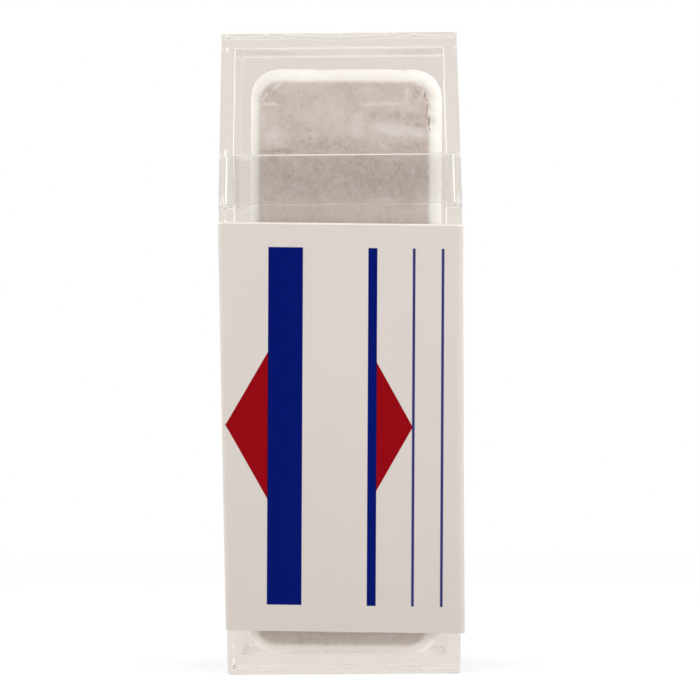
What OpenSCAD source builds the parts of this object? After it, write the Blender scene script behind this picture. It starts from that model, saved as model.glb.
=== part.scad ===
// Pressed chalk bar for whitening a coat, in its clear two-part moulded box.
// The base stands on its closed end and the bar stands in it, leaning on one side.
// The cover slips over the neck of the base and meets it flush at the shoulder,
// and a paper band is wrapped round the base.
// Millimetres. X is the width, the front faces -Y, and Z runs up the length.

/* [Box] */
// Outer width at the shoulder, where the cover meets the base
box_w = 52.6; // [50:0.2:60]
// Outer depth at the shoulder
box_d = 39.8; // [38:0.2:46]
// Height of the base from its foot to the shoulder
base_h = 101.6; // [90:0.2:120]
// Height of the cover
cover_h = 37.1; // [30:0.1:50]
// Wall of the cover
wall = 2.8; // [2.4:0.1:3.2]
// How far each side of the base narrows from the shoulder to the foot
base_taper = 1.15; // [0.6:0.05:1.4]
// How far each side of the cover narrows from the shoulder to the top
cover_taper = 0.9; // [0.4:0.05:1.2]
// How far each side of the base's hollow narrows from its mouth to the floor
hollow_taper = 0.95; // [0.4:0.05:1.2]
// Radius of the long outside edges
edge_r = 1.2; // [0.8:0.1:2]
// Radius of the outside edge round the foot
foot_r = 0.7; // [0.4:0.1:1]
// Radius of the outside edge round the top of the cover
top_r = 0.45; // [0.3:0.05:0.8]
// Radius of the inside edges
inner_r = 0.6; // [0.3:0.1:1]

/* [Neck] */
// Height of the neck above the shoulder
neck_h = 10.5; // [6:0.5:16]
// Width of the shoulder under the rim of the cover
shoulder = 1.35; // [1.1:0.05:1.5]
// How far each side of the neck narrows towards its mouth
neck_taper = 0.25; // [0.1:0.05:0.35]
// Radius of the edge round the neck's mouth
neck_r = 0.35; // [0.2:0.05:0.5]
// Gap between the neck and the cover
neck_gap = 0.12; // [0.06:0.02:0.2]

/* [End walls] */
// Thickness of the floor of the base
floor_t = 3.7; // [3:0.1:5]
// Thickness of the top of the cover
top_t = 3.1; // [2.6:0.1:4]
// Depth of the shallow dish in the outside of each end wall
dish_depth = 1.4; // [0.8:0.1:1.8]
// Narrowest land between a dish and the rounded edge beside it
dish_land = 0.3; // [0.2:0.1:2]
// Diameter of the moulding stub in the middle of each dish
stub_d = 1.8; // [1:0.1:2.5]
// Height of the moulding stub
stub_h = 1; // [0.4:0.1:1.2]

/* [Chalk bar] */
// Gap on each side of the bar at the floor of the base
side_gap = 1.6; // [1:0.1:4]
// Gap in front of the bar and behind it at the floor of the base
face_gap = 1; // [0.6:0.1:4]
// Space left above the bar before it leans
head_gap = 4.9; // [4.6:0.1:30]
// Gap left between the leaning bar and the side of the cover
lean_gap = 0.6; // [0.1:0.05:1]
// Radius of the bar's four corners
corner_r = 6.2; // [4:0.2:10]
// Radius of the worn edge round the bar's two faces
worn_r = 2.8; // [1:0.1:3.4]

/* [Paper band] */
// Height of the band
band_h = 88.2; // [60:0.2:92]
// Height of the band's lower edge above the foot
band_z = 9.2; // [6:0.2:12]
// Thickness of the band
band_t = 0.15; // [0.1:0.01:0.3]
// Gap between the band and the base
band_gap = 0.04; // [0.02:0.01:0.1]
// How far the band stands off one side of the narrowing base at its lower edge
band_slack = 0.6; // [0:0.1:0.8]
// Angle in degrees by which the band was put on out of square
band_skew = 1.15; // [0:0.05:1.5]

/* [Hidden] */
$fn = 32;
skin = 0.01;
total_h = base_h + cover_h;
neck_top = base_h + neck_h;

// Width and depth of the base's outside at height z, and of the cover's
base_w = function(z) box_w - 2 * base_taper * (1 - z / base_h);
base_d = function(z) base_w(z) - box_w + box_d;
cover_w = function(z) box_w - 2 * cover_taper * (z - base_h) / cover_h;
cover_d = function(z) cover_w(z) - box_w + box_d;

// The hollow is flush from the cover into the base, and narrows to the floor
mouth_w = cover_w(neck_top) - 2 * wall;
floor_w = mouth_w - 2 * hollow_taper;
ceiling = total_h - top_t;
ceiling_w = cover_w(ceiling) - 2 * wall;
depth_less = box_w - box_d;

// Each dish reaches from the front edge of its end wall to the back
foot_dish_d = base_d(0) - 2 * foot_r - 2 * dish_land;
top_dish_d = cover_d(total_h) - 2 * top_r - 2 * dish_land;

chalk_w = floor_w - 2 * side_gap;
chalk_t = floor_w - depth_less - 2 * face_gap;
chalk_h = ceiling - floor_t - head_gap;
// The bar leans until its upper corner is lean_gap from the side of the cover
lean = asin((ceiling_w / 2 - lean_gap - chalk_w / 2) / (chalk_h - corner_r));
// Lift that keeps the leaning bar's lowest corner on the floor
lean_lift = (chalk_w / 2 - corner_r) * sin(lean) + corner_r * (1 - cos(lean));

// Solid through level sections [width, depth, corner radius, height, x offset]
module loft(sections) {
    hull()
        for (s = sections, x = [-1, 1], y = [-1, 1])
            translate([s[4] + x * (s[0] / 2 - s[2]), y * (s[1] / 2 - s[2]), s[3]])
                cylinder(r = s[2], h = skin);
}

// Sections of an edge of radius r rounding into a flat end. The flat end is at
// height z, the edge grows from it upwards (up = 1) or downwards (up = -1), and
// w is the width where the rounding ends
function rounding(w, r, z, up, corner) = [
    for (a = [0:15:90])
        let (inset = r * (1 - sin(a)))
            [w - 2 * inset, w - depth_less - 2 * inset, max(corner - inset, 0.1),
             z + up * r * (1 - cos(a)) - (up < 0 ? skin : 0), 0]
];

// Shallow dish of diameter d sunk into a face at z = 0, with the solid above it,
// and the stub that the moulding gate leaves in its middle
module dish(d) {
    ball = (pow(d / 2, 2) + pow(dish_depth, 2)) / (2 * dish_depth);
    difference() {
        translate([0, 0, dish_depth - ball])
            sphere(r = ball, $fn = 360);
        translate([0, 0, dish_depth - stub_h])
            cylinder(d = stub_d, h = stub_h + 1);
    }
}

// The hollow of the closed box, from the floor to the neck's mouth
module base_hollow() {
    loft(concat(
        rounding(floor_w, inner_r, floor_t, 1, inner_r),
        [[mouth_w, mouth_w - depth_less, inner_r, neck_top, 0]]
    ));
}

// Injection-moulded base, with the neck that carries the cover
module base() {
    color([0.9, 0.9, 0.88, 0.4])
        difference() {
            union() {
                loft(concat(
                    rounding(base_w(foot_r), foot_r, 0, 1, edge_r),
                    [[box_w, box_d, edge_r, base_h - skin, 0]]
                ));
                loft(concat(
                    [[box_w - 2 * shoulder, box_d - 2 * shoulder, edge_r, base_h - wall, 0]],
                    rounding(box_w - 2 * shoulder - 2 * neck_taper, neck_r, neck_top, -1, edge_r)
                ));
            }
            base_hollow();
            dish(foot_dish_d);
        }
}

// Injection-moulded cover, rebated inside to slip over the neck
module cover() {
    color([0.9, 0.9, 0.88, 0.4])
        difference() {
            loft(concat(
                [[box_w, box_d, edge_r, base_h, 0]],
                rounding(cover_w(total_h - top_r), top_r, total_h, -1, edge_r)
            ));
            loft(concat(
                [[mouth_w, mouth_w - depth_less, inner_r, neck_top - neck_gap, 0]],
                rounding(ceiling_w, inner_r, ceiling, -1, inner_r)
            ));
            neck_rebate();
            translate([0, 0, total_h])
                mirror([0, 0, 1])
                    dish(top_dish_d);
        }
}

// Space inside the cover's skirt for the neck
module neck_rebate() {
    rebate_w = box_w - 2 * shoulder + 2 * neck_gap;
    loft([
        [rebate_w, rebate_w - depth_less, edge_r, base_h - 1, 0],
        [rebate_w, rebate_w - depth_less, edge_r, base_h, 0],
        [rebate_w - 2 * neck_taper, rebate_w - 2 * neck_taper - depth_less, edge_r,
         neck_top + neck_gap, 0]
    ]);
}

// Pressed chalk bar with round corners and worn edges
module chalk_block() {
    color("white")
        translate([0, 0, floor_t + lean_lift])
            rotate([0, lean, 0])
                hull()
                    for (x = [-1, 1], z = [corner_r, chalk_h - corner_r])
                        translate([x * (chalk_w / 2 - corner_r), 0, z])
                            rotate([90, 0, 0])
                                bar_corner();
}

// Corner of the bar, round about its own Z axis and worn round both ends
module bar_corner() {
    for (end = [-1, 1])
        translate([0, 0, end * (chalk_t / 2 - worn_r)])
            rotate_extrude()
                intersection() {
                    translate([corner_r - worn_r, 0])
                        circle(r = worn_r);
                    translate([0, -worn_r])
                        square([corner_r, 2 * worn_r]);
                }
}

// Band of printed paper wrapped round the base, straight cut and a little loose
module label() {
    color("whitesmoke")
        intersection() {
            difference() {
                band_loft(band_gap + band_t);
                band_loft(band_gap);
            }
            translate([0, 0, band_z])
                rotate([0, band_skew, 0])
                    translate([-box_w, -box_d, 0])
                        cube([2 * box_w, 2 * box_d, band_h]);
        }
}

// Outside of the base with an offset of out, from below the band to above it
module band_loft(out) {
    low = band_z - 1.5;
    high = band_z + band_h + 1.5;
    grow = 2 * out;
    loft([
        [base_w(low) + grow + band_slack, base_d(low) + grow, edge_r + out,
         low - out, band_slack / 2],
        [base_w(high) + grow, base_d(high) + grow, edge_r + out, high + out, 0]
    ]);
}

base();
cover();
chalk_block();
label();
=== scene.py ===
import math

import bmesh
import bpy
from mathutils import Matrix, Vector, noise


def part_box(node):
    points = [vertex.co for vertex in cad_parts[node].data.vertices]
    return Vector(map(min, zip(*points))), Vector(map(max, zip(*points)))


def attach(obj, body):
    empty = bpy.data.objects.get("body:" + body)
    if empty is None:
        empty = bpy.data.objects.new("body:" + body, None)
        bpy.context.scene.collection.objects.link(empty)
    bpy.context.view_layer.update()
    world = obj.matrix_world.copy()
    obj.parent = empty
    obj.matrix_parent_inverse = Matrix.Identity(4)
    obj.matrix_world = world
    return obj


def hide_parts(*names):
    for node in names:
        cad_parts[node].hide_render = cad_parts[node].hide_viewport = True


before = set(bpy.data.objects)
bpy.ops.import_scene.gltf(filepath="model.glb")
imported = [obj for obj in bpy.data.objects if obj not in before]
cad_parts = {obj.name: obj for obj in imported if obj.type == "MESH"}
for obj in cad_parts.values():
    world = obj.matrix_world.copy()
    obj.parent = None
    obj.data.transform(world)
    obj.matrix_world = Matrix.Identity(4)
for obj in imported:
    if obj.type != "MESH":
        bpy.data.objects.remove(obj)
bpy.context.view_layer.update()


# ---------------------------------------------------------------- base
# The lower half of the box: crystal polystyrene, injection moulded in one shot.
# Its walls narrow towards the foot, a thinner neck stands above the shoulder, and
# the closed end is sunk into a shallow dish with the stub of the gate in it.

MM = 0.001
BOX_W = 52.6 * MM
BOX_D = 39.8 * MM
DEPTH_LESS = BOX_W - BOX_D
BASE_H = 101.6 * MM
TOTAL_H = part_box("cover")[1].z
COVER_H = TOTAL_H - BASE_H
WALL = 2.8 * MM
SHOULDER = 1.35 * MM
NECK_H = 10.5 * MM
NECK_TAPER = 0.25 * MM
NECK_R = 0.35 * MM
BASE_TAPER = 1.15 * MM
COVER_TAPER = 0.9 * MM
HOLLOW_TAPER = 0.95 * MM
EDGE_R = 1.2 * MM
FOOT_R = 0.7 * MM
TOP_R = 0.45 * MM
INNER_R = 0.6 * MM
FLOOR_R = 1.1 * MM
CRISP_R = 0.28 * MM
FLOOR_T = 3.7 * MM
TOP_T = 3.1 * MM
DISH_DEPTH = 1.4 * MM
DISH_LAND = 0.3 * MM
STUB_D = 1.8 * MM
STUB_H = 1.0 * MM

CORNER_STEPS = 10
SIDE_STEPS = 22
ARC_STEPS = 6
DISH_STEPS = 14
RING = 4 * (CORNER_STEPS + SIDE_STEPS)

neck_top = BASE_H + NECK_H
cover_half = BOX_W / 2 - COVER_TAPER
mouth_half = BOX_W / 2 - COVER_TAPER * NECK_H / COVER_H - WALL
ceiling_z = TOTAL_H - TOP_T
ceiling_half = BOX_W / 2 - COVER_TAPER * (ceiling_z - BASE_H) / COVER_H - WALL
floor_half = mouth_half - HOLLOW_TAPER


def rounded_ring(half, z, radius):
    """Level rounded rectangle of half width `half`, as many points as every other ring."""
    half_d = half - DEPTH_LESS / 2
    corners = ((1, -1), (1, 1), (-1, 1), (-1, -1))
    ring = []
    for k, (sx, sy) in enumerate(corners):
        centre = Vector((sx * (half - radius), sy * (half_d - radius), z))
        for i in range(CORNER_STEPS + 1):
            a = math.radians(90 * (k - 1 + i / CORNER_STEPS))
            ring.append(centre + radius * Vector((math.cos(a), math.sin(a), 0)))
        nx, ny = corners[(k + 1) % 4]
        a = math.radians(90 * k)
        far = Vector((nx * (half - radius), ny * (half_d - radius), z))
        far += radius * Vector((math.cos(a), math.sin(a), 0))
        ring += [ring[-1].lerp(far, i / SIDE_STEPS) for i in range(1, SIDE_STEPS)]
    return ring


def round_ring(radius, z):
    """Level circle whose points line up with those of a rounded ring."""
    ring = []
    for i in range(RING):
        a = math.radians(-45 + 360 * (i - CORNER_STEPS / 2) / RING)
        ring.append(Vector((radius * math.cos(a), radius * math.sin(a), z)))
    return ring


def dish_rings(z, up, rim):
    """Circles from the middle of an end wall's dish out to its rim, at height z."""
    ball = (rim ** 2 + DISH_DEPTH ** 2) / (2 * DISH_DEPTH)
    stub = STUB_D / 2
    rings = [round_ring(r, z + up * (DISH_DEPTH - STUB_H)) for r in (0.5 * stub, stub)]
    for i in range(DISH_STEPS + 1):
        r = stub + (rim - stub) * i / DISH_STEPS
        rings.append(round_ring(r, z + up * (DISH_DEPTH - ball + math.sqrt(ball ** 2 - r ** 2))))
    return rings


def wall_rings(profile):
    """Rings down a wall's profile of (half width, z, corner radius, fillet) points."""
    rings = []
    for before, (half, z, corner, fillet), after in zip(
        [profile[0]] + profile, profile, profile[1:] + [profile[-1]]
    ):
        here = Vector((half, z))
        if fillet == 0:
            rings.append(rounded_ring(half, z, corner))
            continue
        u = (Vector(before[:2]) - here).normalized()
        v = (Vector(after[:2]) - here).normalized()
        turn = u.angle(v) / 2
        centre = here + (u + v).normalized() * fillet / math.sin(turn)
        start = here + u * fillet / math.tan(turn) - centre
        end = here + v * fillet / math.tan(turn) - centre
        for i in range(ARC_STEPS + 1):
            t = i / ARC_STEPS
            p = centre + start.lerp(end, t).normalized() * fillet
            rings.append(rounded_ring(p.x, p.y, max(corner - abs(half - p.x), 0.05 * MM)))
    return rings


def skin_rings(name, rings):
    """Closed mesh through rings of equal count, with outward faces and soft flats."""
    bm = bmesh.new()
    rows = [[bm.verts.new(p) for p in ring] for ring in rings]
    bm.faces.new(rows[0])
    bm.faces.new(rows[-1])
    for low, high in zip(rows, rows[1:]):
        for i in range(RING):
            j = (i + 1) % RING
            bm.faces.new((low[i], low[j], high[j], high[i]))
    bmesh.ops.recalc_face_normals(bm, faces=bm.faces)
    mesh = bpy.data.meshes.new(name)
    for face in bm.faces:
        face.smooth = True
    sharp = math.radians(35)
    for edge in bm.edges:
        edge.smooth = edge.calc_face_angle(0) < sharp
    bm.to_mesh(mesh)
    bm.free()
    piece = bpy.data.objects.new(name, mesh)
    bpy.context.scene.collection.objects.link(piece)
    flats = piece.modifiers.new("flats", "WEIGHTED_NORMAL")
    flats.weight = 100
    flats.keep_sharp = True
    return piece


def node(tree, kind, inputs=None, **settings):
    """Adds a node, sets its properties, and sets or links its inputs."""
    made = tree.nodes.new(kind)
    for name, value in settings.items():
        setattr(made, name, value)
    for name, value in (inputs or {}).items():
        if isinstance(value, bpy.types.NodeSocket):
            tree.links.new(value, made.inputs[name])
        else:
            made.inputs[name].default_value = value
    return made


def maths(tree, operation, a, b=0.0, clamp=False):
    """Output of a maths node."""
    made = node(tree, "ShaderNodeMath", {0: a, 1: b}, operation=operation, use_clamp=clamp)
    return made.outputs[0]


def new_material(name):
    """Empty material, its node tree and its output."""
    material = bpy.data.materials.new(name)
    material.use_nodes = True
    tree = material.node_tree
    tree.nodes.clear()
    return material, tree, node(tree, "ShaderNodeOutputMaterial")


def srgb(r, g, b):
    """Linear colour of an 8-bit one."""
    def channel(c):
        c /= 255
        return c / 12.92 if c <= 0.04045 else ((c + 0.055) / 1.055) ** 2.4
    return (channel(r), channel(g), channel(b), 1.0)


def clear_plastic():
    """Crystal polystyrene, polished by the mould and faintly scuffed in patches."""
    material, tree, out = new_material("crystal_polystyrene")
    place = node(tree, "ShaderNodeTexCoord").outputs["Object"]
    scuffs = node(tree, "ShaderNodeTexNoise", {"Vector": place, "Scale": 900.0, "Detail": 2.0})
    patches = node(tree, "ShaderNodeTexNoise", {"Vector": place, "Scale": 60.0, "Detail": 3.0})
    worn = maths(tree, "MULTIPLY", scuffs.outputs["Fac"], patches.outputs["Fac"])
    rough = node(tree, "ShaderNodeMapRange", {
        "Value": worn, "From Min": 0.2, "From Max": 0.5, "To Min": 0.005, "To Max": 0.05})
    glass = node(tree, "ShaderNodeBsdfPrincipled", {
        "Base Color": (0.966, 0.962, 0.96, 1.0), "Roughness": rough.outputs[0],
        "IOR": 1.57, "Transmission Weight": 1.0})
    clear = node(tree, "ShaderNodeBsdfTransparent", {"Color": (0.995, 0.995, 0.995, 1.0)})
    path = node(tree, "ShaderNodeLightPath")
    mix = node(tree, "ShaderNodeMixShader", {
        0: path.outputs["Is Shadow Ray"], 1: glass.outputs[0], 2: clear.outputs[0]})
    tree.links.new(mix.outputs[0], out.inputs["Surface"])
    return material


plastic = clear_plastic()

foot_half = BOX_W / 2 - BASE_TAPER
foot_land = (foot_half - FOOT_R, 0.0, EDGE_R - FOOT_R, 0)
base = skin_rings("clear_base", dish_rings(
    0, 1, BOX_D / 2 - BASE_TAPER - FOOT_R - DISH_LAND
) + wall_rings([
    foot_land,
    (foot_half, 0.0, EDGE_R, FOOT_R),
    (BOX_W / 2, BASE_H, EDGE_R, CRISP_R),
    (BOX_W / 2 - SHOULDER, BASE_H, EDGE_R, CRISP_R),
    (BOX_W / 2 - SHOULDER - NECK_TAPER, neck_top, EDGE_R, NECK_R),
    (mouth_half, neck_top, INNER_R, CRISP_R),
    (floor_half, FLOOR_T, INNER_R, FLOOR_R),
    (floor_half - 2 * FLOOR_R, FLOOR_T, 0.05 * MM, 0),
])[1:])
base.data.materials.append(plastic)
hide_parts("base")
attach(base, "box_base")


# ---------------------------------------------------------------- cover
# The upper half of the box, moulded in the same clear plastic. Its skirt is
# rebated inside, slips over the neck and meets the shoulder with a hair's gap.

NECK_GAP = 0.12 * MM
PARTING = 0.03 * MM

rebate_half = BOX_W / 2 - SHOULDER + NECK_GAP
top_rim = BOX_D / 2 - COVER_TAPER - TOP_R - DISH_LAND
cover = skin_rings("clear_cover", wall_rings([
    (ceiling_half - 2 * INNER_R, ceiling_z, 0.05 * MM, 0),
    (ceiling_half, ceiling_z, INNER_R, INNER_R),
    (mouth_half, neck_top + NECK_GAP, INNER_R, CRISP_R),
    (rebate_half - NECK_TAPER, neck_top + NECK_GAP, EDGE_R, CRISP_R),
    (rebate_half, BASE_H + PARTING, EDGE_R, CRISP_R),
    (BOX_W / 2, BASE_H + PARTING, EDGE_R, CRISP_R),
    (cover_half, TOTAL_H, EDGE_R, TOP_R),
    (cover_half - TOP_R, TOTAL_H, EDGE_R - TOP_R, 0),
]) + dish_rings(TOTAL_H, -1, top_rim)[::-1])
cover.data.materials.append(plastic)
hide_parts("cover")
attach(cover, "box_cover")


# ---------------------------------------------------------------- chalk bar
# The bar of pressed chalk powder. It comes from the press with round corners, its
# edges rub down to white powder and are painted whiter still as light from the side
# lamps, its faces are painted darker as shade on the front and are smeared and chipped
# in the box, and it leans on one side of the cover.

CHALK_GRAIN = 0.55 * MM
CHALK_LIFT = 0.03 * MM
CHALK_LEAN = math.radians(0.65)
# The part of each face painted darker, as painted shade as well as smearing, between its left,
# right, lower and upper limits
FACE = (-18.9 * MM, 18.0 * MM, 2.4 * MM, 124.3 * MM)
FACE_R = 4.4 * MM
# Chips off the rims of the bar, in mm: across, up, radius and depth
CHIPS = (
    (17.6, 121.2, 1.5, 0.45), (18.2, 115.6, 1.3, 0.6), (18.0, 118.4, 1.0, 0.35),
    (16.4, 123.2, 1.3, 0.3), (-17.2, 122.3, 2.2, 0.35), (-18.6, 119.8, 1.2, 0.3),
    (12.0, 126.4, 1.6, 0.25), (-6.0, 126.7, 2.0, 0.2), (19.8, 88.0, 1.4, 0.3),
    (-19.9, 74.0, 1.6, 0.3), (19.6, 41.0, 1.8, 0.35), (-19.7, 22.0, 1.4, 0.3),
    (9.0, 0.7, 1.7, 0.3), (-12.0, 0.8, 1.5, 0.3),
)
# Marks on the front face, in mm and degrees: across, up, half sizes, turn, strength
SMEARS = (
    (-15.0, 123.2, 1.9, 0.35, -40, 0.9), (-17.6, 121.0, 1.6, 0.3, -50, 0.8),
    (-16.6, 119.4, 2.2, 0.45, 3, 0.95), (-15.6, 112.6, 2.6, 2.2, 0, 0.65),
    (-18.0, 116.0, 0.6, 2.2, 0, 0.45), (7.6, 119.45, 5.2, 0.5, -2, 0.75),
    (13.1, 121.6, 0.5, 2.0, 3, 0.7), (16.3, 121.6, 0.4, 1.8, 20, 0.5),
    (10.9, 113.9, 6.6, 1.5, 7, 0.9), (14.9, 113.1, 3.0, 0.6, 8, 0.95),
    (2.4, 114.8, 1.7, 2.9, 0, 0.55), (-1.8, 117.4, 1.9, 1.8, 0, 0.25),
    (14.5, 105.7, 0.35, 1.6, 0, 0.4), (1.7, 101.2, 0.5, 2.4, 0, 0.35),
    (-10.5, 101.0, 2.6, 0.6, -20, 0.3), (9.0, 98.6, 3.0, 0.8, 5, 0.35),
    (-3.0, 5.6, 6.0, 0.5, 3, 0.4), (8.5, 4.4, 4.0, 0.4, -4, 0.4),
)
# Stains on the front face, and one band of painted shade across the neck's height
STAINS_AND_NECK_SHADE = (
    (-16.1, 121.9, 1.4, 1.2, 0, 0.9), (-11.9, 117.0, 0.7, 0.6, 0, 0.6),
    (-9.2, 114.6, 2.6, 0.6, 28, 0.5), (-14.5, 109.4, 4.6, 0.55, 0, 1.0),
    (-4.4, 111.0, 8.2, 1.9, 0, 0.55), (13.4, 117.0, 4.8, 0.95, 3, 0.75),
    (5.7, 117.2, 1.4, 0.8, 0, 0.5), (15.4, 115.2, 2.4, 0.6, 6, 0.75),
    (15.2, 121.6, 0.9, 1.7, 12, 0.6), (14.2, 110.6, 5.0, 1.0, 0, 0.55),
    (12.0, 105.9, 0.9, 1.1, 0, 1.0), (16.2, 104.8, 1.3, 1.5, 0, 0.9),
    (-11.7, 103.5, 5.4, 1.0, 0, 0.75), (-15.6, 107.2, 1.6, 1.2, 0, 0.6),
    (6.5, 103.2, 3.4, 1.2, 12, 0.75), (-1.0, 103.6, 3.2, 1.0, 0, 0.6),
    (-16.5, 98.8, 1.6, 0.7, 0, 0.7), (13.0, 100.2, 2.0, 1.4, 20, 0.6),
    # The first row below is painted shade: a band across the whole face where the neck and cover
    # walls overlap
    (0.0, 103.6, 26.0, 5.0, 0, 0.6), (-9.0, 3.4, 5.0, 0.8, 0, 0.3),
)
CRACKS = (
    (17.05, 121.5, 0.12, 0.7, 12, 0.9), (17.5, 120.5, 0.5, 0.1, 50, 0.8),
    (17.55, 118.4, 0.08, 1.4, 8, 0.8), (18.0, 115.7, 0.17, 1.1, 4, 0.95),
    (18.1, 114.1, 0.12, 0.4, 0, 0.7), (14.7, 123.3, 0.5, 0.1, 35, 0.5),
)
# Pale fibres and hairs of powder on the face, in mm and degrees as above
FIBRES = (
    (8.0, 110.4, 1.3, 0.09, 47, 0.8), (13.5, 110.9, 1.5, 0.08, 42, 0.6),
    (14.7, 110.6, 1.0, 0.07, 45, 0.5), (-9.6, 112.2, 1.5, 0.08, -30, 0.6),
    (-7.2, 113.0, 1.2, 0.07, 20, 0.5), (-13.0, 114.6, 0.08, 1.8, 8, 0.4),
)

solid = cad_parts["chalk_block"].data.copy()
chalk = bpy.data.objects.new("pressed_chalk", solid)
bpy.context.scene.collection.objects.link(chalk)
bm = bmesh.new()
bm.from_mesh(solid)
bmesh.ops.remove_doubles(bm, verts=bm.verts, dist=0.001 * MM)
bm.to_mesh(solid)
bm.free()
fine = chalk.modifiers.new("fine", "REMESH")
fine.mode = "VOXEL"
fine.voxel_size = CHALK_GRAIN
fine.use_smooth_shade = True
soft = chalk.modifiers.new("soft", "SMOOTH")
soft.iterations = 4
shown = chalk.evaluated_get(bpy.context.evaluated_depsgraph_get())
chalk.data = bpy.data.meshes.new_from_object(shown)
chalk.modifiers.clear()

upright = Matrix.Rotation(-CHALK_LEAN, 3, "Y")
stand = Vector((0, 0, FLOOR_T))
on_bar = chalk.data.attributes.new("bar_place", "FLOAT_VECTOR", "POINT")
normals = [v.normal.copy() for v in chalk.data.vertices]
for v, n in zip(chalk.data.vertices, normals):
    place = upright @ (v.co - stand)
    on_bar.data[v.index].vector = place
    side = min(1, 3 * (1 - abs(n.y)))
    lump = noise.noise(v.co * 260) * 0.09 + noise.noise(v.co * 700 + Vector((7, 3, 1))) * 0.05
    lump = lump * side + noise.noise(v.co * 420 + Vector((2, 9, 4))) * 0.03
    if place.y < 0:
        for x, z, radius, depth in CHIPS:
            far = math.hypot(place.x / MM - x, place.z / MM - z) / radius
            far += 0.5 * noise.noise(v.co * 900)
            lump -= depth * max(0, 1 - far ** 2)
    v.co += n * lump * MM
    v.co.z += CHALK_LIFT


def marks(tree, place, rows):
    """Mask of soft oval marks at the given rows of places and sizes on the bar."""
    total = 0.0
    for x, z, half_w, half_h, turn, strength in rows:
        held = node(tree, "ShaderNodeMapping", {
            "Vector": place, "Location": (x * MM, 0, z * MM),
            "Rotation": (0, math.radians(turn), 0),
            "Scale": (half_w * MM, 1.0, half_h * MM)}, vector_type="TEXTURE")
        far = node(tree, "ShaderNodeVectorMath", {0: held.outputs[0]}, operation="LENGTH")
        mark = node(tree, "ShaderNodeMapRange", {
            "Value": far.outputs["Value"], "From Min": 1.3, "From Max": 0.4,
            "To Max": strength}, interpolation_type="SMOOTHSTEP")
        total = maths(tree, "MAXIMUM", mark.outputs[0], total)
    return total


def blend(tree, share, first, second):
    """Colour between two others, by share."""
    return node(tree, "ShaderNodeMix", {
        "Factor": share, "A": first, "B": second}, data_type="RGBA").outputs["Result"]


def level(tree, value, low, high, bottom=0.0, top=1.0):
    """Value from bottom to top, as the given one runs from low to high."""
    return node(tree, "ShaderNodeMapRange", {
        "Value": value, "From Min": low, "From Max": high,
        "To Min": bottom, "To Max": top}).outputs[0]


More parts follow.
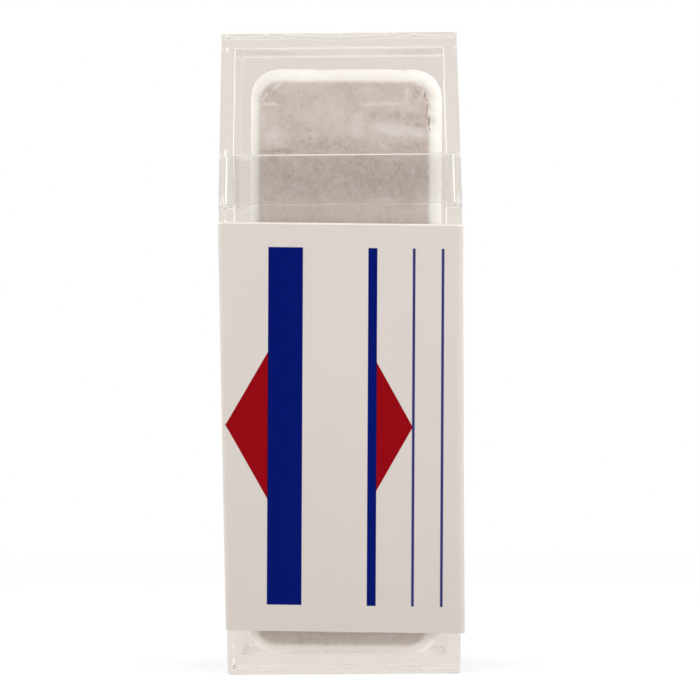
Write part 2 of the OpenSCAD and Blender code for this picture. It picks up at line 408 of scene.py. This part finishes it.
def pressed_chalk():
    """Pressed chalk: faces painted darker as shade on the front, with smears, stains and cracks,
    and white rubbed edges painted lighter still as lit from the side.
    """
    material, tree, out = new_material("pressed_chalk")
    place = node(tree, "ShaderNodeAttribute", attribute_name="bar_place").outputs["Vector"]

    def cloud(scale, detail, rough=0.6):
        return node(tree, "ShaderNodeTexNoise", {
            "Vector": place, "Scale": scale, "Detail": detail, "Roughness": rough})

    def shift(scale, reach):
        away = node(tree, "ShaderNodeVectorMath", {
            0: cloud(scale, 3.0).outputs["Color"], 1: (0.5, 0.5, 0.5)}, operation="SUBTRACT")
        step = node(tree, "ShaderNodeVectorMath", {
            0: away.outputs[0], "Scale": reach}, operation="SCALE")
        return node(tree, "ShaderNodeVectorMath", {
            0: place, 1: step.outputs[0]}, operation="ADD").outputs[0]

    rough_place = shift(650.0, 1.4 * MM)
    even_place = shift(900.0, 0.5 * MM)
    front = maths(tree, "LESS_THAN", node(
        tree, "ShaderNodeSeparateXYZ", {"Vector": place}).outputs["Y"], 0.0)
    left, right, low, high = FACE
    centred = node(tree, "ShaderNodeVectorMath", {
        0: even_place, 1: ((left + right) / 2, 0, (low + high) / 2)}, operation="SUBTRACT")
    size = node(tree, "ShaderNodeVectorMath", {0: centred.outputs[0]}, operation="ABSOLUTE")
    past = node(tree, "ShaderNodeVectorMath", {
        0: size.outputs[0],
        1: ((right - left) / 2 - FACE_R, 1.0, (high - low) / 2 - FACE_R)}, operation="SUBTRACT")
    past = node(tree, "ShaderNodeVectorMath", {
        0: past.outputs[0], 1: (0, 0, 0)}, operation="MAXIMUM")
    reach = node(tree, "ShaderNodeVectorMath", {0: past.outputs[0]}, operation="LENGTH")
    # Mask of the rim: rubbed white chalk, painted lighter as the side lamps' light, against the
    # face's painted shade
    lit_rubbed_rim = level(tree, reach.outputs["Value"], FACE_R - 0.45 * MM, FACE_R + 0.45 * MM)

    patches = level(tree, cloud(150.0, 5.0, 0.65).outputs["Fac"], 0.34, 0.66)
    mottle = level(tree, cloud(900.0, 5.0, 0.75).outputs["Fac"], 0.38, 0.64)
    specks = level(tree, cloud(2300.0, 2.0).outputs["Fac"], 0.58, 0.66)
    streaks = cloud(1.0, 1.0)
    grain = cloud(1400.0, 3.0)
    tree.links.new(node(tree, "ShaderNodeMapping", {
        "Vector": rough_place, "Rotation": (0, math.radians(40), 0),
        "Scale": (220.0, 220.0, 1500.0)}).outputs[0], streaks.inputs["Vector"])

    # Base tone of the face, written darker than white chalk: painted shade on the front face, in
    # random patches
    tone = blend(tree, patches, srgb(193, 179, 170), srgb(212, 201, 195))
    tone = blend(tree, maths(tree, "MULTIPLY", mottle, 0.5), tone, srgb(220, 210, 205))
    # Stains, and painted shade over the neck's height, darken the front face
    stain_and_shade = maths(tree, "MULTIPLY", marks(tree, rough_place, STAINS_AND_NECK_SHADE), front)
    stain_and_shade = maths(tree, "MULTIPLY", stain_and_shade, maths(tree, "SUBTRACT", 1.15, mottle), clamp=True)
    tone = blend(tree, maths(tree, "MULTIPLY", stain_and_shade, 0.6), tone, srgb(160, 141, 128))
    speckle = maths(tree, "MULTIPLY", specks, maths(tree, "ADD", 0.16, stain_and_shade))
    tone = blend(tree, maths(tree, "MULTIPLY", speckle, 0.6), tone, srgb(136, 114, 101))
    smear = maths(tree, "MULTIPLY", marks(tree, shift(700.0, 0.7 * MM), SMEARS), front)
    smear = maths(tree, "MULTIPLY", smear, level(tree, streaks.outputs["Fac"], 0.1, 0.5))
    tone = blend(tree, maths(tree, "MULTIPLY", smear, 0.75), tone, srgb(230, 224, 226))
    fibre = maths(tree, "MULTIPLY", marks(tree, shift(160.0, 1.6 * MM), FIBRES), front)
    tone = blend(tree, fibre, tone, srgb(243, 236, 231))
    # Rim colour: rubbed white chalk, and painted light from the side lamps
    edge = blend(tree, patches, srgb(239, 236, 231), srgb(247, 245, 241))
    face = blend(tree, lit_rubbed_rim, tone, edge)
    crack = maths(tree, "MULTIPLY", marks(tree, shift(900.0, 0.5 * MM), CRACKS), front)
    face = blend(tree, crack, face, srgb(112, 94, 82))
    hollow = maths(tree, "SUBTRACT", maths(tree, "ADD", grain.outputs["Fac"], mottle), crack)
    bump = node(tree, "ShaderNodeBump", {
        "Height": hollow, "Strength": 0.35, "Distance": 0.0002})
    body = node(tree, "ShaderNodeBsdfPrincipled", {
        "Base Color": face, "Roughness": 0.95, "Specular IOR Level": 0.2,
        "Normal": bump.outputs[0]})
    tree.links.new(body.outputs[0], out.inputs["Surface"])
    return material


chalk.data.materials.clear()
chalk.data.materials.append(pressed_chalk())
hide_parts("chalk_block")
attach(chalk, "box_base")


# ---------------------------------------------------------------- paper band
# A strip of coated white paper, printed in blue and red, wrapped once round the
# base and stuck to itself at the back. It was put on a hair out of square, and
# stands off the narrowing base a little at its lower edge.

BAND_H = 88.2 * MM
BAND_Z = 9.2 * MM
BAND_T = 0.15 * MM
BAND_GAP = 0.04 * MM
BAND_SLACK = 0.6 * MM
BAND_SKEW = math.tan(math.radians(1.15))
PRINT_SKEW = math.tan(math.radians(0.75))
BAND_PAST = 1.5 * MM
# Share of the light that the paper lets through
PAPER_THROUGH = 0.3

low_z = BAND_Z - BAND_PAST
high_z = BAND_Z + BAND_H + BAND_PAST
low_half = BOX_W / 2 - BASE_TAPER * (1 - low_z / BASE_H) + BAND_GAP
high_half = BOX_W / 2 - BASE_TAPER * (1 - high_z / BASE_H) + BAND_GAP
band_sizes = {
    "Lower Width": 2 * low_half + BAND_SLACK,
    "Lower Depth": 2 * low_half - DEPTH_LESS,
    "Lower Level": low_z,
    "Upper Width": 2 * high_half,
    "Upper Depth": 2 * high_half - DEPTH_LESS,
    "Upper Level": high_z,
    "Edge Radius": EDGE_R + BAND_GAP,
    "Band Level": BAND_Z,
    "Band Height": BAND_H,
    "Band Skew": BAND_SKEW,
    "Print Skew": PRINT_SKEW,
    "Slack": BAND_SLACK,
    "Lap": 8.0 * MM,
    "Thickness": BAND_T,
    "Loose Corner": 0.1 * MM,
}


def wrapped_band():
    """Tree that wraps a sheet round the narrowing base, from a seam at the back."""
    tree = bpy.data.node_groups.new("wrapped_band", "GeometryNodeTree")
    face = tree.interface
    face.new_socket("Geometry", in_out="INPUT", socket_type="NodeSocketGeometry")
    face.new_socket("Geometry", in_out="OUTPUT", socket_type="NodeSocketGeometry")
    for name in band_sizes:
        face.new_socket(name, in_out="INPUT", socket_type="NodeSocketFloat")
    for name in ("Plain Side", "Printed Side"):
        face.new_socket(name, in_out="INPUT", socket_type="NodeSocketMaterial")
    given = node(tree, "NodeGroupInput").outputs

    def outline(width, depth):
        flat = node(tree, "GeometryNodeCurvePrimitiveQuadrilateral", {
            "Width": width, "Height": depth})
        soft = node(tree, "GeometryNodeFilletCurve", {
            "Curve": flat.outputs[0], "Count": 8, "Radius": given["Edge Radius"]}, mode="POLY")
        return soft.outputs[0]

    def total(*values):
        result = values[0]
        for value in values[1:]:
            result = maths(tree, "ADD", result, value)
        return result

    def times(a, b):
        return maths(tree, "MULTIPLY", a, b)

    def vector(x, y, z):
        return node(tree, "ShaderNodeCombineXYZ", {"X": x, "Y": y, "Z": z}).outputs[0]

    def added(a, b):
        return node(tree, "ShaderNodeVectorMath", {0: a, 1: b}, operation="ADD").outputs[0]

    sheet = node(tree, "GeometryNodeMeshGrid", {
        "Size X": 1.0, "Size Y": 1.0, "Vertices X": 640, "Vertices Y": 29})
    spot = node(tree, "ShaderNodeSeparateXYZ", {
        "Vector": node(tree, "GeometryNodeInputPosition").outputs[0]}).outputs
    low_line = outline(given["Lower Width"], given["Lower Depth"])
    high_line = outline(given["Upper Width"], given["Upper Depth"])
    girth = node(tree, "GeometryNodeCurveLength", {"Curve": low_line}).outputs[0]

    # The way round runs from the seam, over the front at the middle of it
    seam = 0.1
    lap = maths(tree, "DIVIDE", given["Lap"], girth)
    turns = times(total(spot["X"], 0.5), total(1.0, lap))
    share = maths(tree, "FRACT", total(turns, seam))
    up = total(spot["Y"], 0.5)

    def point(line):
        return node(tree, "GeometryNodeSampleCurve", {
            "Curves": line, "Factor": share}, mode="FACTOR").outputs

    low_point = added(point(low_line)["Position"], vector(times(given["Slack"], 0.5), 0.0, 0.0))
    high_point = point(high_line)["Position"]
    across = node(tree, "ShaderNodeSeparateXYZ", {"Vector": low_point}).outputs
    way = node(tree, "ShaderNodeSeparateXYZ", {"Vector": point(low_line)["Tangent"]}).outputs
    outward = vector(way["Y"], times(way["X"], -1.0), 0.0)

    height = total(given["Band Level"], times(up, given["Band Height"]),
                   times(times(across["X"], given["Band Skew"]), -1.0))
    climb = maths(tree, "DIVIDE", maths(tree, "SUBTRACT", height, given["Lower Level"]),
                  maths(tree, "SUBTRACT", given["Upper Level"], given["Lower Level"]))
    ruled = node(tree, "ShaderNodeMix", {
        "Factor": climb, "A": low_point, "B": high_point}, data_type="VECTOR",
        clamp_factor=False).outputs["Result"]
    flat_place = node(tree, "ShaderNodeSeparateXYZ", {"Vector": ruled}).outputs

    # The lap rides over the first turn, and the lower right corner lifts off
    over = node(tree, "ShaderNodeMapRange", {
        "Value": turns, "From Min": 0.985, "From Max": 1.0, "To Max": 1.2}).outputs[0]
    loose = node(tree, "ShaderNodeMapRange", {
        "Value": up, "From Min": 0.3, "From Max": 0.0}, interpolation_type="SMOOTHSTEP").outputs[0]
    aside = node(tree, "ShaderNodeMapRange", {
        "Value": across["X"], "From Min": 0.3 * BOX_W, "From Max": 0.5 * BOX_W}).outputs[0]
    wave = node(tree, "ShaderNodeTexNoise", {
        "Vector": vector(times(turns, 6.0), times(up, 3.0), 0.0), "Scale": 1.0, "Detail": 1.0})
    stand_off = total(
        times(over, given["Thickness"]),
        times(times(loose, aside), given["Loose Corner"]),
        times(wave.outputs["Fac"], 0.08 * MM))
    lifted = node(tree, "ShaderNodeVectorMath", {
        0: outward, "Scale": stand_off}, operation="SCALE").outputs[0]
    placed = added(vector(flat_place["X"], flat_place["Y"], height), lifted)
    moved = node(tree, "GeometryNodeSetPosition", {
        "Geometry": sheet.outputs["Mesh"], "Position": placed})

    # The sheet's own measures: along it from the middle of the front, and up it
    def at_climb(low, high):
        return node(tree, "ShaderNodeMix", {
            "Factor": climb, "A": low, "B": high}, clamp_factor=False).outputs["Result"]

    width = at_climb(given["Lower Width"], given["Upper Width"])
    depth = at_climb(given["Lower Depth"], given["Upper Depth"])
    length = at_climb(girth, node(
        tree, "GeometryNodeCurveLength", {"Curve": high_line}).outputs[0])
    to_front = total(times(width, 1.5), depth, times(given["Edge Radius"], 1.5 * math.pi - 5.0))
    aim = at_climb(times(given["Slack"], 0.5), 0.0)
    along = maths(tree, "SUBTRACT", total(times(total(turns, seam), length), aim), to_front)
    middle = total(given["Band Level"], times(given["Band Height"], 0.5))
    tilt = times(maths(tree, "SUBTRACT", height, middle), given["Print Skew"])
    measure = vector(maths(tree, "SUBTRACT", along, tilt), times(up, given["Band Height"]), 0.0)
    kept = node(tree, "GeometryNodeCaptureAttribute", {"Geometry": sheet.outputs["Mesh"]})
    kept.capture_items.new("VECTOR", "measure")
    tree.links.new(measure, kept.inputs["measure"])
    tree.links.new(kept.outputs["Geometry"], moved.inputs["Geometry"])
    mapped = node(tree, "GeometryNodeStoreNamedAttribute", {
        "Geometry": moved.outputs[0], "Name": "paper", "Value": kept.outputs["measure"]},
        data_type="FLOAT2", domain="CORNER")
    raised = node(tree, "GeometryNodeExtrudeMesh", {
        "Mesh": mapped.outputs[0], "Offset Scale": given["Thickness"], "Individual": False})
    inside = node(tree, "GeometryNodeFlipFaces", {"Mesh": mapped.outputs[0]})
    both = node(tree, "GeometryNodeJoinGeometry")
    closed = node(tree, "GeometryNodeMergeByDistance", {
        "Geometry": both.outputs[0], "Distance": 0.001 * MM})
    smooth = node(tree, "GeometryNodeSetShadeSmooth", {"Geometry": closed.outputs[0]})
    bend = node(tree, "GeometryNodeInputMeshEdgeAngle").outputs["Unsigned Angle"]
    crisp = node(tree, "GeometryNodeSetShadeSmooth", {
        "Geometry": smooth.outputs[0], "Shade Smooth": False,
        "Selection": maths(tree, "GREATER_THAN", bend, 0.6)}, domain="EDGE")
    whole = node(tree, "GeometryNodeRealizeInstances", {"Geometry": crisp.outputs[0]})
    plain = node(tree, "GeometryNodeSetMaterial", {
        "Geometry": whole.outputs[0], "Material": given["Plain Side"]})
    outer = node(tree, "GeometryNodeCaptureAttribute", {"Geometry": raised.outputs["Mesh"]},
                 domain="FACE")
    outer.capture_items.new("BOOLEAN", "outer")
    tree.links.new(raised.outputs["Top"], outer.inputs["outer"])
    for part in (inside.outputs["Mesh"], outer.outputs["Geometry"]):
        tree.links.new(part, both.inputs["Geometry"])
    dressed = node(tree, "GeometryNodeSetMaterial", {
        "Geometry": plain.outputs[0], "Selection": outer.outputs["outer"],
        "Material": given["Printed Side"]})
    node(tree, "NodeGroupOutput", {"Geometry": dressed.outputs[0]})
    return tree


def printed_paper():
    """Coated paper that lets light through, printed with stripes, rules and triangles."""
    material, tree, out = new_material("printed_paper")
    place = node(tree, "ShaderNodeUVMap", uv_map="paper").outputs[0]
    spot = node(tree, "ShaderNodeSeparateXYZ", {"Vector": place}).outputs
    soft = 0.05 * MM

    def between(value, low, high):
        off = maths(tree, "ABSOLUTE", maths(tree, "SUBTRACT", value, (low + high) / 2))
        half = (high - low) / 2
        return level(tree, off, half + soft, half - soft)

    def field(strips):
        mask = 0.0
        for low, high in strips:
            mask = maths(tree, "MAXIMUM", between(spot["X"], low * MM, high * MM), mask)
        return mask

    def triangle(base_x, apex_x, half_h):
        along = node(tree, "ShaderNodeMapRange", {
            "Value": spot["X"], "From Min": base_x * MM, "From Max": apex_x * MM,
            "To Min": half_h * MM, "To Max": 0.0}, clamp=False).outputs[0]
        off = maths(tree, "ABSOLUTE", maths(tree, "SUBTRACT", spot["Y"], 44.4 * MM))
        inside = level(tree, maths(tree, "SUBTRACT", along, off), -soft, soft)
        low, high = sorted((base_x * MM, apex_x * MM))
        return maths(tree, "MULTIPLY", inside, between(spot["X"], low, high))

    # Levels up the sheet between which the stripes and rules run
    long = between(spot["Y"], 5.7 * MM, 82.9 * MM)
    stripes = maths(tree, "MULTIPLY", field(((-16.05, -8.55), (5.52, 7.48))), long)
    rules = maths(tree, "MULTIPLY", field(((15.1, 15.7), (21.32, 21.92))), long)
    red = maths(tree, "MAXIMUM", triangle(-15.85, -25.15, 16.2), triangle(7.35, 15.3, 14.1))
    cloud = node(tree, "ShaderNodeTexNoise", {"Vector": place, "Scale": 30.0, "Detail": 4.0})
    fibres = node(tree, "ShaderNodeTexNoise", {"Vector": place, "Scale": 900.0, "Detail": 3.0})
    screen = node(tree, "ShaderNodeTexNoise", {"Vector": place, "Scale": 2600.0, "Detail": 1.0})
    # Painted shade: the sheet darkens towards its lower edge, as light falls from above
    painted_shade_low = level(tree, spot["Y"], 70.0 * MM, 0.0)
    sheet = blend(tree, cloud.outputs["Fac"], srgb(203, 197, 191), srgb(211, 205, 200))
    sheet = blend(tree, maths(tree, "MULTIPLY", painted_shade_low, 0.6), sheet, srgb(197, 190, 184))
    smudge = node(tree, "ShaderNodeMapping", {
        "Vector": place, "Location": (9.6 * MM, 9.0 * MM, 0), "Scale": (4.0 * MM, 2.4 * MM, 1.0)},
        vector_type="TEXTURE")
    smudge = node(tree, "ShaderNodeVectorMath", {0: smudge.outputs[0]}, operation="LENGTH")
    smudge = level(tree, smudge.outputs["Value"], 1.0, 0.2, 0.0, 0.35)
    smudge = maths(tree, "MULTIPLY", smudge, cloud.outputs["Fac"])
    sheet = blend(tree, smudge, sheet, srgb(191, 185, 185))
    # A paler line just under the top edge of the sheet
    paler_top_line = level(tree, spot["Y"], BAND_H - 0.45 * MM, BAND_H - 0.3 * MM)
    sheet = blend(tree, paler_top_line, sheet, srgb(233, 227, 221))
    red_ink = blend(tree, screen.outputs["Fac"], srgb(130, 1, 12), srgb(146, 7, 19))
    blue_ink = blend(tree, screen.outputs["Fac"], srgb(0, 12, 94), srgb(1, 21, 107))
    printed = blend(tree, red, sheet, red_ink)
    printed = blend(tree, maths(tree, "MULTIPLY", rules, 0.95), printed, blue_ink)
    printed = blend(tree, stripes, printed, blue_ink)
    overprint = maths(tree, "MULTIPLY", maths(tree, "MULTIPLY", stripes, red), 0.8)
    printed = blend(tree, overprint, printed, srgb(14, 6, 38))
    bump = node(tree, "ShaderNodeBump", {
        "Height": fibres.outputs["Fac"], "Strength": 0.15, "Distance": 0.00005})
    front = node(tree, "ShaderNodeBsdfPrincipled", {
        "Base Color": printed, "Roughness": 0.5, "Specular IOR Level": 0.05,
        "Normal": bump.outputs[0]})
    through = node(tree, "ShaderNodeBsdfTranslucent", {"Color": printed})
    mix = node(tree, "ShaderNodeMixShader", {
        0: PAPER_THROUGH, 1: front.outputs[0], 2: through.outputs[0]})
    tree.links.new(mix.outputs[0], out.inputs["Surface"])
    return material


def plain_paper():
    """The bare inner side of the paper, with a painted glow where it is seen through the plastic
    it lies on.
    """
    material, tree, out = new_material("plain_paper")
    place = node(tree, "ShaderNodeTexCoord").outputs["Object"]
    cloud = node(tree, "ShaderNodeTexNoise", {"Vector": place, "Scale": 90.0, "Detail": 4.0})
    sheet = node(tree, "ShaderNodeMix", {
        "Factor": cloud.outputs["Fac"], "A": srgb(228, 221, 213), "B": srgb(240, 234, 228)},
        data_type="RGBA").outputs["Result"]
    side = node(tree, "ShaderNodeBsdfPrincipled", {
        "Base Color": sheet, "Roughness": 0.7, "Specular IOR Level": 0.1})
    through = node(tree, "ShaderNodeBsdfTranslucent", {"Color": sheet})
    paper = node(tree, "ShaderNodeMixShader", {
        0: PAPER_THROUGH, 1: side.outputs[0], 2: through.outputs[0]})
    # Painted glow, seen only through the plastic, in place of the light piped through the walls,
    # which reaches it where no lamp can
    painted_glow = node(tree, "ShaderNodeEmission", {"Color": (0.66, 0.62, 0.575, 1.0), "Strength": 1.0})
    path = node(tree, "ShaderNodeLightPath")
    mix = node(tree, "ShaderNodeMixShader", {
        0: path.outputs["Is Transmission Ray"], 1: paper.outputs[0], 2: painted_glow.outputs[0]})
    tree.links.new(mix.outputs[0], out.inputs["Surface"])
    return material


band = bpy.data.objects.new("paper_band", bpy.data.meshes.new("paper_band"))
bpy.context.scene.collection.objects.link(band)
wrap = band.modifiers.new("wrap", "NODES")
wrap.node_group = wrapped_band()
given = dict(band_sizes)
given["Plain Side"] = plain_paper()
given["Printed Side"] = printed_paper()
for item in wrap.node_group.interface.items_tree:
    if item.in_out == "INPUT" and item.name in given:
        wrap[item.identifier] = given[item.name]
shown = band.evaluated_get(bpy.context.evaluated_depsgraph_get())
band.data = bpy.data.meshes.new_from_object(shown)
band.modifiers.clear()
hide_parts("label")
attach(band, "box_base")


# ---------------------------------------------------------------- studio
# A pale table and backdrop, soft lamps on both sides and above, and a camera
# standing almost level with the middle of the box, a little to its right.

FRAME_PX = 700
PX = 0.2155 * MM
BOX_AXIS_PX = 341.2
FOOT_PX = 675
CAMERA_FAR = 0.930
CAMERA_RISE = math.radians(0.35)
CAMERA_TURN = math.radians(1.4)
CAMERA_ROLL = math.radians(-0.45)

floor_mesh = bpy.data.meshes.new("table")
bm = bmesh.new()
bmesh.ops.create_circle(bm, cap_ends=True, segments=96, radius=6.0)
bm.to_mesh(floor_mesh)
bm.free()
table = bpy.data.objects.new("table", floor_mesh)
bpy.context.scene.collection.objects.link(table)

WHITE = (1.0, 1.0, 1.0, 1.0)
# What shows through the plastic: straight behind it, beside it, above it and below it
BACKDROP = (0.79, 0.742, 0.684, 1.0)
SIDE_LIGHT = (1.25, 1.22, 1.16, 1.0)
TOP_LIGHT = (0.86, 0.81, 0.755, 1.0)
TABLE_LIGHT = (0.8, 0.755, 0.7, 1.0)
# The table and the wall above and below what lies straight behind the box
BEYOND = (0.98, 0.945, 0.9, 1.0)
# What the chalk and the paper get through the plastic, which is more than shows in it
SIDE_FILL = (1.38, 1.34, 1.29, 1.0)
TABLE_FILL = (1.3, 1.25, 1.18, 1.0)
# What the plastic mirrors from the sides, and from above
SIDE_SHINE = (0.62, 0.63, 0.58, 1.0)
TOP_SHINE = (6.0, 5.8, 5.6, 1.0)


def ray_kinds(tree):
    """Masks of rays from the camera, off or through plastic, and from chalk or paper."""
    path = node(tree, "ShaderNodeLightPath").outputs
    through = maths(tree, "MAXIMUM", path["Is Glossy Ray"], path["Is Transmission Ray"])
    bounced = maths(tree, "GREATER_THAN", path["Diffuse Depth"], 0.5)
    return path["Is Camera Ray"], through, bounced


material, tree, out = new_material("pale_table")
by_camera, through, bounced = ray_kinds(tree)
place = node(tree, "ShaderNodeTexCoord").outputs["Object"]
far = node(tree, "ShaderNodeVectorMath", {0: place}, operation="LENGTH").outputs["Value"]
fade = node(tree, "ShaderNodeMapRange", {
    "Value": far, "From Min": 0.1, "From Max": 0.5, "To Min": 0.6, "To Max": 1.0})
share = maths(tree, "MAXIMUM", maths(tree, "MULTIPLY", by_camera, fade.outputs[0]), through)
distant = node(tree, "ShaderNodeMapRange", {
    "Value": far, "From Min": 0.4, "From Max": 1.5}).outputs[0]
strip = node(tree, "ShaderNodeMapping", {
    "Vector": place, "Location": (0, 0.11, 0), "Scale": (0.2, 0.09, 1.0)}, vector_type="TEXTURE")
strip = node(tree, "ShaderNodeVectorMath", {0: strip.outputs[0]}, operation="LENGTH")
behind = node(tree, "ShaderNodeMapRange", {
    "Value": strip.outputs["Value"], "From Min": 1.0, "From Max": 0.9}).outputs[0]
rear = node(tree, "ShaderNodeMapRange", {
    "Value": node(tree, "ShaderNodeSeparateXYZ", {"Vector": place}).outputs["Y"],
    "From Min": 0.15, "From Max": 0.25}).outputs[0]
below = blend(tree, rear, TABLE_LIGHT, BEYOND)
below = blend(tree, maths(tree, "MAXIMUM", distant, behind), below, BACKDROP)
below = blend(tree, bounced, below, TABLE_FILL)
colour = blend(tree, by_camera, below, WHITE)
matt = node(tree, "ShaderNodeBsdfDiffuse", {"Color": (0.9, 0.9, 0.9, 1.0)})
glow = node(tree, "ShaderNodeEmission", {"Color": colour, "Strength": 1.0})
mix = node(tree, "ShaderNodeMixShader", {0: share, 1: matt.outputs[0], 2: glow.outputs[0]})
tree.links.new(mix.outputs[0], out.inputs["Surface"])
table.data.materials.append(material)

world = bpy.data.worlds.new("studio")
bpy.context.scene.world = world
world.use_nodes = True
tree = world.node_tree
tree.nodes.clear()
out = node(tree, "ShaderNodeOutputWorld")
by_camera, through, bounced = ray_kinds(tree)
heading = node(tree, "ShaderNodeTexCoord").outputs["Generated"]
turn = node(tree, "ShaderNodeSeparateXYZ", {"Vector": heading})
sideways = node(tree, "ShaderNodeMapRange", {
    "Value": maths(tree, "ABSOLUTE", turn.outputs["Y"]), "From Min": 0.85, "From Max": 0.3},
    interpolation_type="SMOOTHSTEP")
path = node(tree, "ShaderNodeLightPath").outputs
mirrored = maths(tree, "SUBTRACT", path["Is Glossy Ray"], path["Is Transmission Ray"], clamp=True)
steep = maths(tree, "ABSOLUTE", turn.outputs["Z"])
upwards = node(tree, "ShaderNodeMapRange", {
    "Value": steep, "From Min": 0.3, "From Max": 0.8},
    interpolation_type="SMOOTHSTEP").outputs[0]
raised = node(tree, "ShaderNodeMapRange", {
    "Value": steep, "From Min": 0.25, "From Max": 0.45}).outputs[0]
lit = blend(tree, upwards, SIDE_LIGHT, TOP_LIGHT)
lit = blend(tree, bounced, lit, SIDE_FILL)
shine = blend(tree, upwards, SIDE_SHINE, TOP_SHINE)
bright = blend(tree, mirrored, lit, shine)
around = blend(tree, raised, BACKDROP, BEYOND)
around = blend(tree, sideways.outputs[0], around, bright)
colour = blend(tree, by_camera, around, WHITE)
room = node(tree, "ShaderNodeBackground", {"Color": (1.0, 0.99, 0.975, 1.0), "Strength": 0.7})
shown = node(tree, "ShaderNodeBackground", {"Color": colour, "Strength": 1.0})
seen = maths(tree, "MAXIMUM", by_camera, through)
mix = node(tree, "ShaderNodeMixShader", {0: seen, 1: room.outputs[0], 2: shown.outputs[0]})
tree.links.new(mix.outputs[0], out.inputs["Surface"])


def softbox(name, place, aim, width, height, power):
    """Soft lamp at place, turned to aim."""
    lamp = bpy.data.lights.new(name, "AREA")
    lamp.shape = "RECTANGLE"
    lamp.size = width
    lamp.size_y = height
    lamp.energy = power
    holder = bpy.data.objects.new(name, lamp)
    holder.location = place
    holder.visible_transmission = False
    holder.visible_glossy = False
    holder.rotation_euler = (Vector(aim) - Vector(place)).to_track_quat("-Z", "Y").to_euler()
    bpy.context.scene.collection.objects.link(holder)


middle = (0, 0, TOTAL_H / 2)
softbox("left_softbox", (-0.6, -0.17, 0.12), middle, 0.4, 0.7, 3.7)
softbox("right_softbox", (0.58, -0.25, 0.12), middle, 0.4, 0.7, 4.2)
softbox("top_softbox", (0, -0.1, 0.75), middle, 0.6, 0.4, 2.1)

towards = Vector((
    math.sin(CAMERA_TURN) * math.cos(CAMERA_RISE),
    -math.cos(CAMERA_TURN) * math.cos(CAMERA_RISE),
    math.sin(CAMERA_RISE),
))
aim = Vector(((FRAME_PX / 2 - BOX_AXIS_PX) * PX, -BOX_D / 2, (FOOT_PX - FRAME_PX / 2) * PX))
camera = bpy.data.objects.new("camera", bpy.data.cameras.new("camera"))
camera.data.sensor_width = 36.0
camera.data.lens = 36.0 * CAMERA_FAR / (FRAME_PX * PX)
camera.data.clip_end = 50.0
camera.location = aim + towards * CAMERA_FAR
camera.rotation_euler = (-towards).to_track_quat("-Z", "Y").to_euler()
camera.rotation_euler.rotate_axis("Z", CAMERA_ROLL)
bpy.context.scene.collection.objects.link(camera)
bpy.context.scene.camera = camera

scene = bpy.context.scene
scene.view_settings.view_transform = "Standard"
# Light turns many times inside the thick walls before it leaves them
scene.cycles.max_bounces = 48
scene.cycles.transmission_bounces = 48
scene.cycles.glossy_bounces = 48
scene.cycles.transparent_max_bounces = 48
